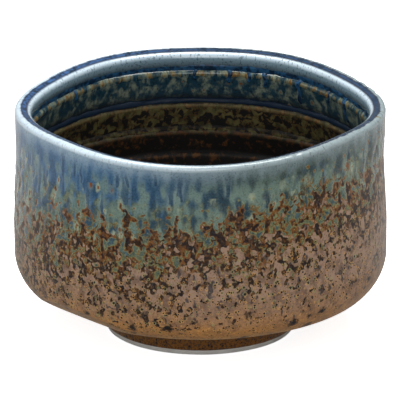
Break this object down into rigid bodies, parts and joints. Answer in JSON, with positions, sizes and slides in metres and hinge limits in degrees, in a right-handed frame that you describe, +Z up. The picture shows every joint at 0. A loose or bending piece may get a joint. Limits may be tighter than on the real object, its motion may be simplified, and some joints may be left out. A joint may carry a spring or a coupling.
{
  "type": "matcha bowl",
  "caption": "Half-cylinder stoneware tea bowl on a low foot ring, with a blue glaze over an iron glaze, ledges inside the wall and a trimmed flat on the hip.",
  "frame": {"origin": "centre of the foot ring, on the surface that the bowl stands on", "axes": "+Z up along the bowl's axis, -Y towards the front, +X to the right seen from the front"},
  "size_m": [0.122, 0.122, 0.075],
  "materials": {
    "clay": "bare fired stoneware, pale grey and matte",
    "iron_glaze": "iron brown glaze, speckled and mottled, satin",
    "blue_glaze": "slate blue and grey green running glaze, glossy"
  },
  "bodies": {
    "root": {"clay_body": "clay", "foot_ring": "clay", "outer_iron_glaze": "iron_glaze", "inner_iron_glaze": "iron_glaze", "foot_side_glaze": "iron_glaze", "foot_well_glaze": "iron_glaze", "outer_blue_glaze": "blue_glaze", "lip_blue_glaze": "blue_glaze", "inner_blue_glaze": "blue_glaze", "upper_glaze_pool": "blue_glaze", "middle_glaze_pool": "blue_glaze", "lower_glaze_pool": "iron_glaze", "inner_glaze_runs": "blue_glaze"}
  },
  "joints": []
}
